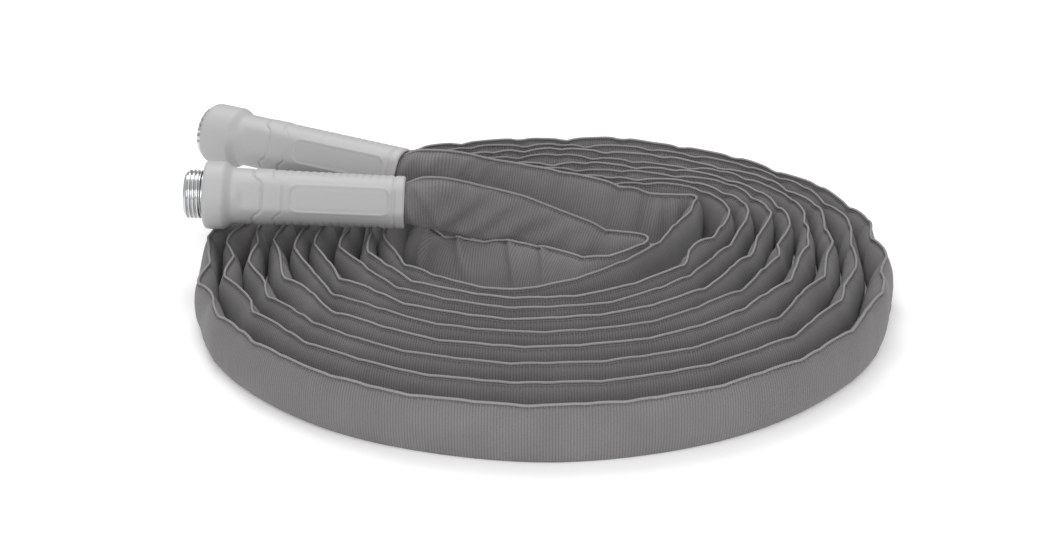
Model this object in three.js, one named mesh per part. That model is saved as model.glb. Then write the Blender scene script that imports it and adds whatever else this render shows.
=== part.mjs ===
// Lay-flat fabric-jacket water hose, 25 ft long, folded at mid-length and double-rolled on edge,
// with a male and a female 3/4 in garden-hose coupling lying over the roll.
// Millimetres. +X right, +Y back, +Z up. The origin is the bottom centre of the bounding box.
import * as THREE from 'three';

// ---- driving dimensions ------------------------------------------------------------------
const BAND_HEIGHT = 31;        // flat hose standing on edge, sewn edge included
const BAND_THICK = 4.8;        // emptied hose, not pressed hard
const JACKET_WALL = 0.9;
const LINER_WALL = 0.8;
const FIT_GAP = 0.3;           // running or touching gap between neighbouring pieces
const JACKET_ROUND = 11;       // jacket's outer radius where the hose is round, in a coupling
const TURNS = 4.57;            // turns of each of the two strands, right side to mid-length fold
const CHORD_TURN = 0.32;       // bend between chords of the roll, in radians
const CHORD_TWIST = 0.06;      // change of lean between chords of the roll, in radians
const END_STEP = 17;           // longest chord of an end stretch
const BOX_CENTRE = [-12.56, 1.6];   // plan centre of the bounding box, from the roll's centre

// Couplings: the axis runs from the open face of the grip to its tail.
const MALE = { face: [-191.5, 34.6, 51.2], tail: [-80.2, 32.5, 47.2] };
const FEMALE = { face: [-199, 131, 54], tail: [-83.2, 79, 47.2] };
const THREAD_RADIUS = 13.5;    // 3/4-11.5 hose thread, 27 mm across its crests
const THREAD_PITCH = 25.4 / 11.5;
const THREAD_DEPTH = 1.2;
const THREAD_CRESTS = 4;
const BORE_RADIUS = 5.6;
const BARB_RADIUS = 7.6;
const FLANGE_RADIUS = 11.6;
const FERRULE = { from: 26, to: 58, inner: 11.3, outer: 12.3 };
const GRIP_BORE = 12.7;

// ---- colours -----------------------------------------------------------------------------
const finish = (color, roughness, metalness) =>
  new THREE.MeshStandardMaterial({ color, roughness, metalness });
const WOVEN = finish(0x6f6d6d, 0.9, 0);
const LINER = finish(0x2c2c2e, 0.6, 0);
const SOFT_GRIP = finish(0xb9b8b6, 0.65, 0);
const ALUMINIUM = finish(0xcfd0d2, 0.25, 1);
const RUBBER = finish(0x252525, 0.8, 0);

const part = new THREE.Group();
const model = new THREE.Group();
model.position.set(-BOX_CENTRE[0], -BOX_CENTRE[1], 0);
part.add(model);

function addPiece(name, geometry, material, parent = model) {
  const mesh = new THREE.Mesh(geometry, material);
  mesh.name = name;
  parent.add(mesh);
  return mesh;
}

// ---- route of the hose -------------------------------------------------------------------
// Both strands follow one family of off-centre ovals. `ring` counts strands outwards from the
// opening; each full clockwise turn moves a strand two rings out, past its partner. At the back
// right the ovals are pushed out round the sharp corner where the female end enters the roll.
const CORNER = { angle: 0.47, width: 0.5, push: 38, lastRing: 7.5 };

function ovalPoint(turn, ring) {
  const angle = -2 * Math.PI * turn;
  const away = Math.atan2(Math.sin(angle - CORNER.angle), Math.cos(angle - CORNER.angle));
  const share = Math.max(1 - ring / CORNER.lastRing, 0);
  const push = CORNER.push * share * Math.exp(-((away / CORNER.width) ** 2));
  const right = 77 + 14.8 * ring;
  const left = -91 - 12.25 * ring;
  const back = 116.5 + 11.3 * ring;
  const front = -56 - 10.45 * ring - 0.95 * ring * ring;
  const x = (right + left) / 2 + ((right - left) / 2 + push) * Math.cos(angle);
  const y = (back + front) / 2 + ((back - front) / 2 + push) * Math.sin(angle);
  return new THREE.Vector3(x, y, 0);
}

const outerRing = (turn) => 2 * turn - 1;      // strand from the female coupling
const innerRing = (turn) => 2 * turn - 2;      // strand from the male coupling
const strandPoints = (ringOf, from) => {
  const count = Math.round((TURNS - from) * CONTROLS_PER_TURN);
  return Array.from({ length: count + 1 }, (_, i) => {
    const turn = from + (TURNS - from) * i / count;
    return ovalPoint(turn, ringOf(turn));
  });
};

// A plan point may lean the band from upright, in degrees, towards the left of its way along the
// hose. The curve carries the lean in z, in radians, until the roll's sections are made.
const plan = (points) => points.map(([x, y, lean = 0]) =>
  new THREE.Vector3(x, y, THREE.MathUtils.degToRad(lean)));
const FEMALE_LEAD = plan([
  [74, 90], [80, 90.7], [84.6, 90], [86.9, 86.6], [84.5, 79],
  [80, 62], [71, 41], [61, 21], [46, -4], [23, -28],
]);
const MALE_LEAD = plan([
  [41, 28.6], [47.5, 27.8], [51.6, 26.3], [53.4, 22.3], [50, 15], [39, 0, 4], [20, -8, 24],
  [-3, 8, 33], [-28, 20, 30], [-52, 24, 36], [-70, 36, 42], [-77, 58, 20], [-66, 81],
]);
const OUTER_START = 0.27;      // turn at which each strand takes up the ovals
const INNER_START = 0.66;
const CONTROLS_PER_TURN = 16;

function rollPoints() {
  const outward = strandPoints(outerRing, OUTER_START);
  const inward = strandPoints(innerRing, INNER_START);
  const [beforeEnd, outEnd] = outward.slice(-2);
  const middle = outEnd.clone().add(inward.at(-1)).multiplyScalar(0.5);
  const across = outEnd.clone().sub(middle);
  const ahead = outEnd.clone().sub(beforeEnd).normalize().multiplyScalar(across.length());
  const bend = [0.25, 0.5, 0.75].map((share) => {
    const turn = Math.PI * share;
    return middle.clone().addScaledVector(across, Math.cos(turn))
      .addScaledVector(ahead, Math.sin(turn));
  });
  return [...FEMALE_LEAD, ...outward, ...bend, ...inward.reverse(), ...MALE_LEAD.slice().reverse()];
}

// Corners along a smooth curve: chords shorter than maxStep, bends under maxTurn between them, and
// z changing by less than maxRise. A mitre keeps the walls parallel to the chords.
function samplePath(points, maxStep, maxTurn, maxRise = Infinity) {
  const curve = new THREE.CatmullRomCurve3(points, false, 'centripetal');
  curve.arcLengthDivisions = 4000;
  const fine = curve.getSpacedPoints(Math.ceil(curve.getLength() / 1.5));
  const picked = [0];
  let last = 0;
  for (let i = 1; i < fine.length - 1; i += 1) {
    const before = fine[last + 1].clone().sub(fine[last]);
    const here = fine[i + 1].clone().sub(fine[i]);
    const length = fine[i].distanceTo(fine[last]);
    const rise = Math.abs(fine[i].z - fine[last].z);
    if (length >= maxStep || (length > 2 && (before.angleTo(here) > maxTurn || rise > maxRise))) {
      picked.push(i);
      last = i;
    }
  }
  picked.push(fine.length - 1);
  const corners = picked.map((i) => fine[i]);
  const chords = corners.slice(1).map((p, i) => p.clone().sub(corners[i]).normalize());
  return corners.map((at, i) => {
    const before = chords[Math.max(i - 1, 0)];
    const after = chords[Math.min(i, chords.length - 1)];
    const along = before.clone().add(after).normalize();
    return { at, along, mitre: 1 / along.dot(after), share: picked[i] / (fine.length - 1) };
  });
}

// ---- solids ------------------------------------------------------------------------------
// Closed pipe wall through outer and inner rings of points, open at both ends.
function pipeGeometry(outer, inner) {
  const sides = outer[0].length;
  const last = outer.length - 1;
  const positions = [];
  const quad = (a, b, c, d) => [a, b, c, a, c, d].forEach((p) => positions.push(p.x, p.y, p.z));
  for (let i = 0; i < last; i += 1) {
    for (let j = 0; j < sides; j += 1) {
      const k = (j + 1) % sides;
      quad(outer[i][j], outer[i][k], outer[i + 1][k], outer[i + 1][j]);
      quad(inner[i][j], inner[i + 1][j], inner[i + 1][k], inner[i][k]);
    }
  }
  for (let j = 0; j < sides; j += 1) {
    const k = (j + 1) % sides;
    quad(inner[0][j], inner[0][k], outer[0][k], outer[0][j]);
    quad(outer[last][j], outer[last][k], inner[last][k], inner[last][j]);
  }
  const geometry = new THREE.BufferGeometry();
  geometry.setAttribute('position', new THREE.Float32BufferAttribute(positions, 3));
  return geometry;
}

// A ring of the hose's section. Its long side stands up; `sides` of 4 gives a plain band.
function sectionRing({ at, along, mitre, lean = 0 }, halfHeight, halfThick, sides) {
  const level = new THREE.Vector3(-along.y, along.x, 0).normalize();
  const flat = level.clone().applyAxisAngle(along, -lean);
  const up = flat.clone().cross(along).negate();
  const corners = sides === 4
    ? [[-1, -1], [1, -1], [1, 1], [-1, 1]]
    : Array.from({ length: sides }, (_, j) => {
      const angle = 2 * Math.PI * (j + 0.5) / sides;
      return [Math.cos(angle), Math.sin(angle)];
    });
  return corners.map(([t, h]) => {
    const offset = flat.clone().multiplyScalar(t * halfThick).addScaledVector(up, h * halfHeight);
    return offset.addScaledVector(level, (mitre - 1) * offset.dot(level)).add(at);
  });
}

// Jacket and liner walls as insets from the hose's outer surface.
const LAYERS = [
  { piece: 'jacket', material: WOVEN, outside: 0, inside: JACKET_WALL },
  { piece: 'liner', material: LINER, outside: JACKET_WALL + FIT_GAP,
    inside: JACKET_WALL + FIT_GAP + LINER_WALL },
];

function addHose(prefix, samples, sizeAt, sides) {
  LAYERS.forEach(({ piece, material, outside, inside }) => {
    const rings = (inset) => samples.map((sample) => {
      const { halfHeight, halfThick } = sizeAt(sample.share);
      return sectionRing(sample, halfHeight - inset, halfThick - inset, sides);
    });
    addPiece(`${prefix}_${piece}`, pipeGeometry(rings(outside), rings(inside)), material);
  });
}

// The roll: the whole double spiral and its mid-length fold, standing on its lower edge. Inside the
// opening the loose innermost strand has tipped over towards the middle.
const FLAT = { halfHeight: BAND_HEIGHT / 2, halfThick: BAND_THICK / 2 };
const rollSamples = samplePath(rollPoints(), 70, CHORD_TURN, CHORD_TWIST);
rollSamples.forEach((sample) => {
  const { at, along } = sample;
  sample.lean = at.z;
  along.setZ(0).normalize();
  at.setZ(FLAT.halfHeight * Math.cos(at.z) + FLAT.halfThick * Math.sin(at.z));
});
addHose('roll', rollSamples, () => FLAT, 4);

// The two end stretches, from inside the couplings down to where the roll begins.
const vector = (xyz) => new THREE.Vector3(...xyz);
function axisPoints({ face, tail }, distances) {
  const start = vector(face);
  const along = vector(tail).sub(start).normalize();
  return distances.map((s) => start.clone().addScaledVector(along, s));
}

const HOSE_IN_GRIP = [28, 60, 92];
const FLOOR_HEIGHT = BAND_HEIGHT / 2;
const FEMALE_ROUTE = [
  ...axisPoints(FEMALE, HOSE_IN_GRIP), vector(FEMALE.tail),
  ...[[-62, 73.5, 48.4], [-50, 74.5, 46], [-36, 77, 41.5], [-12, 82, 35.5], [24, 85, 27],
    [50, 87.6, 19.5], [64, 89.2, FLOOR_HEIGHT], [73.2, 89.9, FLOOR_HEIGHT]].map(vector),
];
const MALE_ROUTE = [
  ...axisPoints(MALE, HOSE_IN_GRIP), vector(MALE.tail),
  ...[[-62, 33, 47], [-42, 36, 41], [-18, 36.5, 34.5], [4, 34.5, 26], [22, 31.8, 19.2],
    [31, 30.2, FLOOR_HEIGHT], [40.2, 28.75, FLOOR_HEIGHT]].map(vector),
];

const ease = (x) => {
  const t = Math.min(Math.max(x, 0), 1);
  return t * t * (3 - 2 * t);
};

function addEndStretch(prefix, route, coupling) {
  const samples = samplePath(route, END_STEP, 0.2);
  samples.forEach(({ at }) => at.setZ(Math.max(at.z, FLOOR_HEIGHT)));
  const length = new THREE.CatmullRomCurve3(route, false, 'centripetal').getLength();
  const tailAt = vector(coupling.face).distanceTo(vector(coupling.tail)) - HOSE_IN_GRIP[0];
  const sizeAt = (share) => {
    const flat = ease((share * length - tailAt + 4) / 40);
    return {
      halfHeight: THREE.MathUtils.lerp(JACKET_ROUND, FLAT.halfHeight, flat),
      halfThick: THREE.MathUtils.lerp(JACKET_ROUND, FLAT.halfThick, flat),
    };
  };
  addHose(prefix, samples, sizeAt, 8);
}
addEndStretch('female_end', FEMALE_ROUTE, FEMALE);
addEndStretch('male_end', MALE_ROUTE, MALE);

// ---- couplings ---------------------------------------------------------------------------
// Inside a coupling's group, +Y is the axis, from the open face of the grip towards the hose.
function couplingGroup({ face, tail }) {
  const group = new THREE.Group();
  const along = vector(tail).sub(vector(face)).normalize();
  group.position.copy(vector(face));
  group.quaternion.setFromUnitVectors(new THREE.Vector3(0, 1, 0), along);
  model.add(group);
  return group;
}

// A turned piece. Its closed outline is [radius, distance along the axis] pairs.
function turned(outline, segments) {
  const closed = [...outline, outline[0]].map(([r, s]) => new THREE.Vector2(r, s));
  return new THREE.LatheGeometry(closed, segments);
}

// A soft grip: a collar round the fitting, then a slim tapering sleeve with a lipped tail.
function gripOutline(length, collar, sleeve, tail, collarEnd, pocket) {
  return [
    [pocket.radius, 0], [collar - 1.6, 0], [collar, 1.8], [collar, collarEnd - 4],
    [collar - 0.9, collarEnd - 1.8], [sleeve + 0.6, collarEnd + 1.2], [sleeve, collarEnd + 4],
    [tail, length - 7], [tail - 0.5, length - 6], [tail + 0.1, length - 5],
    [tail, length - 1.5], [tail - 1.2, length],
    [GRIP_BORE, length], [GRIP_BORE, pocket.depth], [pocket.radius, pocket.depth],
  ];
}

// Barbs on the stem, pushed into the liner, from its free end back towards the flange.
function barbOutline(from, to, count) {
  const step = (to - from) / count;
  return Array.from({ length: count }, (_, i) => {
    const start = to - i * step;
    const edge = start - step + 0.8;
    return [[BARB_RADIUS - 1, start], [BARB_RADIUS, edge], [BARB_RADIUS - 1, edge]];
  }).flat();
}

const ferruleOutline = [
  [FERRULE.inner, FERRULE.from], [FERRULE.outer, FERRULE.from],
  [FERRULE.outer, FERRULE.to], [FERRULE.inner, FERRULE.to],
];

// Male end: the threaded spigot stands out of the grip and carries the barbed stem behind it.
const maleGroup = couplingGroup(MALE);
const MALE_LENGTH = vector(MALE.face).distanceTo(vector(MALE.tail));
const SPIGOT_TIP = -11;
const threadOutline = Array.from({ length: THREAD_CRESTS }, (_, i) => {
  const start = SPIGOT_TIP + 1 + i * THREAD_PITCH;
  return [[THREAD_RADIUS - THREAD_DEPTH, start], [THREAD_RADIUS, start + 0.8],
    [THREAD_RADIUS, start + 1.3]];
}).flat();
const MALE_FLANGE = { from: 3, to: 20, radius: 14.6 };
const spigotOutline = [
  [BORE_RADIUS, SPIGOT_TIP], [THREAD_RADIUS - THREAD_DEPTH, SPIGOT_TIP], ...threadOutline,
  [THREAD_RADIUS - THREAD_DEPTH, 0], [THREAD_RADIUS - THREAD_DEPTH, MALE_FLANGE.from],
  [MALE_FLANGE.radius, MALE_FLANGE.from], [MALE_FLANGE.radius, MALE_FLANGE.to],
  [BARB_RADIUS - 1, MALE_FLANGE.to], ...barbOutline(MALE_FLANGE.to + 6, 56, 3).reverse(),
  [BARB_RADIUS - 1, 56], [BORE_RADIUS, 56],
];
addPiece('male_spigot', turned(spigotOutline, 24), ALUMINIUM, maleGroup);
addPiece('male_ferrule', turned(ferruleOutline, 24), ALUMINIUM, maleGroup);
addPiece('male_grip', turned(gripOutline(MALE_LENGTH, 19, 15.6, 14.7, 13.5,
  { radius: MALE_FLANGE.radius + FIT_GAP, depth: MALE_FLANGE.to + FIT_GAP }), 28),
SOFT_GRIP, maleGroup);

// Female end: the fixed barbed stem's flange holds the swivel nut, which the grip turns with.
const femaleGroup = couplingGroup(FEMALE);
const FEMALE_LENGTH = vector(FEMALE.face).distanceTo(vector(FEMALE.tail));
const NUT = { lip: -2.7, outer: 15.2, socket: 13.3, back: 17.5 };
const STEM = { flangeFrom: 11, flangeTo: 14, neck: 9.4 };
const WASHER = { from: 7.5, outer: 13, inner: 7.2 };
const stemOutline = [
  [BORE_RADIUS, STEM.flangeFrom], [FLANGE_RADIUS, STEM.flangeFrom],
  [FLANGE_RADIUS, STEM.flangeTo], [STEM.neck, STEM.flangeTo], [STEM.neck, 22],
  [BARB_RADIUS - 1, 22], ...barbOutline(26, 56, 3).reverse(), [BARB_RADIUS - 1, 56],
  [BORE_RADIUS, 56],
];
const nutOutline = [
  [NUT.socket, NUT.lip + 0.8], [NUT.socket + 0.8, NUT.lip], [NUT.outer - 0.8, NUT.lip],
  [NUT.outer - 0.2, NUT.lip + 0.8], [NUT.outer, 0.4], [NUT.outer, NUT.back],
  [STEM.neck + FIT_GAP, NUT.back], [STEM.neck + FIT_GAP, STEM.flangeTo + FIT_GAP],
  [NUT.socket, STEM.flangeTo + FIT_GAP],
];
const washerOutline = [
  [WASHER.inner, WASHER.from], [WASHER.outer, WASHER.from],
  [WASHER.outer, STEM.flangeFrom - FIT_GAP], [WASHER.inner, STEM.flangeFrom - FIT_GAP],
];
addPiece('female_stem', turned(stemOutline, 24), ALUMINIUM, femaleGroup);
addPiece('female_ferrule', turned(ferruleOutline, 24), ALUMINIUM, femaleGroup);
addPiece('female_nut', turned(nutOutline, 28), ALUMINIUM, femaleGroup);
addPiece('female_washer', turned(washerOutline, 20), RUBBER, femaleGroup);
addPiece('female_grip', turned(gripOutline(FEMALE_LENGTH, 17.9, 15.2, 14.5, 20.5,
  { radius: NUT.outer + FIT_GAP, depth: NUT.back + FIT_GAP }), 28), SOFT_GRIP, femaleGroup);

export default part;
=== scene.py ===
"""Builds the looks of a rolled lay-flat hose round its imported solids.

Lengths in this file are millimetres until a mesh is made. Blender's own units are metres.
The hose is one line of points: out of the female coupling, round the roll to its mid-length fold,
back inside that strand, and into the male coupling. Everything on the hose is laid along it.
"""

import math

import bmesh
import bpy
import numpy as np
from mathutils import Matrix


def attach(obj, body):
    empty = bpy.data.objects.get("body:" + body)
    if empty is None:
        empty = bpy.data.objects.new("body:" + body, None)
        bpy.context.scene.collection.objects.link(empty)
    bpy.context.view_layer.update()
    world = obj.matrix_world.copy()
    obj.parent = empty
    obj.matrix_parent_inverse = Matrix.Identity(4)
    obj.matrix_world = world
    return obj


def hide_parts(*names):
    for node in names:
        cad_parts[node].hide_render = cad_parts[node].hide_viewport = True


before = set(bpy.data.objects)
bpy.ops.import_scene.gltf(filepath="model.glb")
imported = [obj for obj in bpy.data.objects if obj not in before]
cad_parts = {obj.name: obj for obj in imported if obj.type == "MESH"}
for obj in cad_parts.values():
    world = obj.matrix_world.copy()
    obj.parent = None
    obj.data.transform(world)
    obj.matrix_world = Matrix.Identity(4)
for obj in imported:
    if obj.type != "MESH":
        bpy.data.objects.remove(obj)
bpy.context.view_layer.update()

bl_info = {
    "name": "Rolled lay-flat hose",
    "version": (1, 0, 0),
    "blender": (4, 5, 0),
    "location": "3D View > Sidebar > Hose",
    "description": "Builds a rolled woven hose and its two couplings on a packed frame",
    "category": "Object",
}

MM = 0.001                    # one millimetre in Blender's metres

# ---- driving dimensions, as in the part's source ----
BAND_HEIGHT = 31.0            # flat hose standing on edge, welt included
HALF_HEIGHT = BAND_HEIGHT / 2
HALF_THICK = 2.4
JACKET_ROUND = 11.0           # jacket's radius where it is round, inside a coupling
LINER_INSET = 1.2             # jacket wall and fitting gap
LINER_WALL = 0.8
TURNS = 4.57
BOX_CENTRE = np.array([-12.56, 1.6, 0.0])     # the part's origin, from the roll's centre
CORNER = {"angle": 0.47, "width": 0.5, "push": 38.0, "last_ring": 7.5}  # bulge at the back right
OUTER_START = 0.27            # turns at which the two strands join the spiral
INNER_START = 0.66
CONTROLS_PER_TURN = 16
HOSE_IN_GRIP = (28.0, 60.0, 92.0)

# Each coupling has its open face and its grip's tail, radii of its collar, sleeve and tail end,
# and then, as distances from the open face, where its collar ends, the pocket for its flange or
# nut, and its chevrons. Its panel has a start, a stop and a width, and its edge a reach and depth.
MALE = {
    "face": (-191.5, 34.6, 51.2), "tail": (-80.2, 32.5, 47.2),
    "collar": 19.0, "sleeve": 15.6, "end": 14.7, "collar_end": 13.5,
    "pocket_radius": 14.9, "pocket_depth": 20.3,
    "chevrons": (32.5, 44.0), "panel": (48.0, 103.0, 15.0), "edge": (2.2, 1.6),
}
FEMALE = {
    "face": (-199.0, 131.0, 54.0), "tail": (-83.2, 79.0, 47.2),
    "collar": 17.9, "sleeve": 15.2, "end": 14.5, "collar_end": 20.5,
    "pocket_radius": 15.5, "pocket_depth": 17.8,
    "chevrons": (44.0, 56.0), "panel": (61.0, 118.5, 13.6), "edge": (3.8, 2.0),
}
GRIP_BORE = 12.7
GRIP_SLOPE = 6.4              # length of the neck between collar and sleeve
GRIP_FLAT = 1.5               # depth of the flats at the front and the back of the sleeve
FLAT_BLEND = 0.9              # rounding between a flat and the round sides
GRIP_GROOVE = 0.65            # depth of the chevron grooves
GRIP_RAISED = 0.3             # height of the band between them and of the panel's rim
GRIP_RIB_PITCH = 4.3          # finger ribs along the sides
PANEL_CORNER = 5.0
THREAD = {"radius": 13.5, "pitch": 25.4 / 11.5, "depth": 1.2, "tip": -11.0}
BORE_RADIUS = 5.6
BARB_RADIUS = 7.6
MALE_FLANGE = {"from": 3.0, "to": 20.0, "radius": 14.6}
NUT = {
    "lip": -2.7, "outer": 15.2, "socket": 13.3, "back": 17.5, "neck": 9.7, "floor": 14.3,
    "flutes": 24, "flute_depth": 0.6,
}

FEMALE_LEAD = [
    (74, 90), (80, 90.7), (84.6, 90), (86.9, 86.6), (84.5, 79),
    (80, 62), (71, 41), (61, 21), (46, -4), (23, -28),
]
MALE_LEAD = [                 # x, y and the band's lean from upright in degrees
    (41, 28.6, 0), (47.5, 27.8, -8), (51.6, 26.3, -15), (53.4, 22.3, -17), (50, 15, -9),
    (39, 0, 4), (20, -8, 24), (-3, 8, 33), (-28, 20, 30), (-52, 24, 36), (-70, 36, 42),
    (-77, 58, 20), (-66, 81, 0),
]
FEMALE_ROUTE = [
    (-62, 73.5, 48.4), (-50, 74.5, 46), (-36, 77, 41.5), (-12, 82, 35.5), (24, 85, 27),
    (50, 87.6, 19.5), (64, 89.2, HALF_HEIGHT), (73.2, 89.9, HALF_HEIGHT),
]
MALE_ROUTE = [
    (-62, 33, 47), (-42, 36, 41), (-18, 36.5, 34.5), (4, 34.5, 26), (22, 31.8, 19.2),
    (31, 30.2, HALF_HEIGHT), (40.2, 28.75, HALF_HEIGHT),
]

# ---- fabric ----
BODY_TOP = 13.2               # where the lens-shaped tube ends and the sewn edge begins
WELT_RADIUS = 0.75
WELT_CENTRE = HALF_HEIGHT - WELT_RADIUS
NECK_HALF = 0.5
RIB_PITCH = 1.45              # raised ribs across the band; the real 1.3 is too fine to show
YARN_PITCH = 1.1              # yarns along the band, also a little coarser than real
RING_STEP = 3                 # line points, 1 mm apart, between rings of the jacket
SECTION_STEPS = 14            # steps up each side of the jacket's section
ROLL_MIDDLE = np.array([0.0, 25.0, 0.0])
LEAD_LENGTH = 500             # line points from a coupling in which its lead is looked for
TOP_WAVE = (0.3, 3.9)         # least and greatest wave of the top edge, as the room allows
FOOT_WAVE = 2.6               # wave of the feet, the same for neighbours
PUFF = 10.0                   # the furthest that a foot fills the room beside it
PLEAT = 21.0                  # slanted folds where the band is tipped over, before softening
PUCKER = 5.0                  # slanted creases near the couplings
GATHER = 1.9                  # gathers at a grip's mouth
CORNER_DENTS = (9, 20, 33)    # creases before the first sharp corner, in line points
CORNER_DENT = 3.2             # their depth, as a share of a kink's


# ---- stage, in metres ----
CAMERA_PLACE = (-0.00274, -1.1459, 0.4999)
CAMERA_TILT = 67.0            # degrees from straight down
SENSOR_WIDTH = 36.0
HORIZON, OVERHEAD = 0.45, 1.9  # shares of the room light's strength from the two heights
FILL_SHARE = 1.6              # front light's power, as a share of the key light's


# ---- numbers along a line ----
def spline(points, step=0.5):
    """Centripetal Catmull-Rom curve through the points, as a fine polyline."""
    points = np.asarray(points, float)
    full = np.vstack([2 * points[0] - points[1], points, 2 * points[-1] - points[-2]])
    pieces = []
    for p0, p1, p2, p3 in zip(full, full[1:], full[2:], full[3:]):
        d0, d1, d2 = (np.linalg.norm(b - a) ** 0.5 for a, b in ((p0, p1), (p1, p2), (p2, p3)))
        m1 = ((p1 - p0) / d0 - (p2 - p0) / (d0 + d1) + (p2 - p1) / d1) * d1
        m2 = ((p2 - p1) / d1 - (p3 - p1) / (d1 + d2) + (p3 - p2) / d2) * d1
        count = max(int(np.linalg.norm(p2 - p1) / step), 4)
        t = np.arange(count)[:, None] / count
        bend = (3 * (p2 - p1) - 2 * m1 - m2) * t**2 + (2 * (p1 - p2) + m1 + m2) * t**3
        pieces.append(p1 + m1 * t + bend)
    pieces.append(points[-1:])
    return np.vstack(pieces)


def evenly(line, step):
    """The same polyline with its points evenly spaced."""
    gaps = np.linalg.norm(np.diff(line, axis=0), axis=1)
    along = np.concatenate([[0], np.cumsum(gaps)])
    at = np.linspace(0, along[-1], int(round(along[-1] / step)) + 1)
    return np.stack([np.interp(at, along, line[:, k]) for k in range(3)], axis=1)


def soften(values, width):
    """Gaussian smoothing along the first axis, in line points, that keeps the ends' slope."""
    reach = int(3 * width) + 1
    kernel = np.exp(-0.5 * (np.arange(-reach, reach + 1) / width) ** 2)
    kernel /= kernel.sum()
    columns = values.reshape(len(values), -1)
    padded = np.pad(columns, ((reach, reach), (0, 0)), mode="reflect", reflect_type="odd")
    smooth = [np.convolve(padded[:, k], kernel, mode="valid") for k in range(columns.shape[1])]
    return np.stack(smooth, axis=1).reshape(values.shape)


def ease(x):
    """Smooth step from 0 to 1."""
    t = np.clip(x, 0, 1)
    return t * t * (3 - 2 * t)


def bell(x, width):
    """A rounded bump of height 1 about 0."""
    return np.exp(-((x / width) ** 2))


def up_band(height):
    """Share of the way up the band, from 0 at its foot to 1 at its top edge."""
    return np.clip((height + HALF_HEIGHT) / BAND_HEIGHT, 0, 1)


def bumps(count, places, width, heights=1.0):
    """Soft narrow bumps at places along the line."""
    line = np.zeros(count)
    line[places] = heights
    return soften(line, width)


def wander(count, wavelength, seed):
    """Smooth noise from -1 to 1, one value for each line point."""
    knots = np.random.default_rng(seed).uniform(-1, 1, int(count / wavelength * 2) + 4)
    return soften(np.interp(np.arange(count) * 2 / wavelength, np.arange(len(knots)), knots),
                  wavelength / 8)


def creased(count, shortest, longest, seed):
    """Straight runs between soft kinks that lean to either side in turn, and the kinks' places."""
    draw = np.random.default_rng(seed)
    places = np.cumsum(draw.uniform(shortest, longest, int(count / shortest) + 2))
    signs = np.where(np.arange(len(places)) % 2, 1.0, -1.0)
    heights = signs * draw.uniform(0.35, 1.0, len(places))
    run = np.interp(np.arange(count), places, heights)
    return soften(run, 2.2), places[places < count].astype(int)


# ---- route of the hose ----
def oval_point(turn, ring):
    """Plan point of the roll; ring counts strands outwards from the opening."""
    angle = -2 * math.pi * turn
    away = math.remainder(angle - CORNER["angle"], 2 * math.pi)
    share = max(1 - ring / CORNER["last_ring"], 0)
    push = CORNER["push"] * share * math.exp(-((away / CORNER["width"]) ** 2))
    right, left = 77 + 14.8 * ring, -91 - 12.25 * ring
    back, front = 116.5 + 11.3 * ring, -56 - 10.45 * ring - 0.95 * ring * ring
    x = (right + left) / 2 + ((right - left) / 2 + push) * math.cos(angle)
    y = (back + front) / 2 + ((back - front) / 2 + push) * math.sin(angle)
    return np.array([x, y, HALF_HEIGHT])


def roll_points():
    """Control points of the double spiral: out along one strand, round the fold and back in."""
    outward, inward = (
        [oval_point(t, 2 * t - first) for t in np.linspace(
            start, TURNS, round((TURNS - start) * CONTROLS_PER_TURN) + 1)]
        for start, first in ((OUTER_START, 1), (INNER_START, 2)))
    middle = (outward[-1] + inward[-1]) / 2
    across = outward[-1] - middle
    ahead = outward[-1] - outward[-2]
    ahead *= np.linalg.norm(across) / np.linalg.norm(ahead)
    fold = [middle + across * math.cos(math.pi * s) + ahead * math.sin(math.pi * s)
            for s in (0.25, 0.5, 0.75)]
    lead_in = [(x, y, HALF_HEIGHT) for x, y in FEMALE_LEAD]
    lead_out = [(x, y, HALF_HEIGHT) for x, y, _ in reversed(MALE_LEAD)]
    return [*lead_in, *outward, *fold, *reversed(inward), *lead_out]


def axis_points(coupling, distances):
    """Points on a coupling's axis, at distances from its open face."""
    start, tail = (np.array(coupling[k]) for k in ("face", "tail"))
    along = (tail - start) / np.linalg.norm(tail - start)
    return [start + along * s for s in distances]


def grip_length(coupling):
    """Length of a coupling's soft grip."""
    return math.dist(coupling["face"], coupling["tail"])


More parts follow.
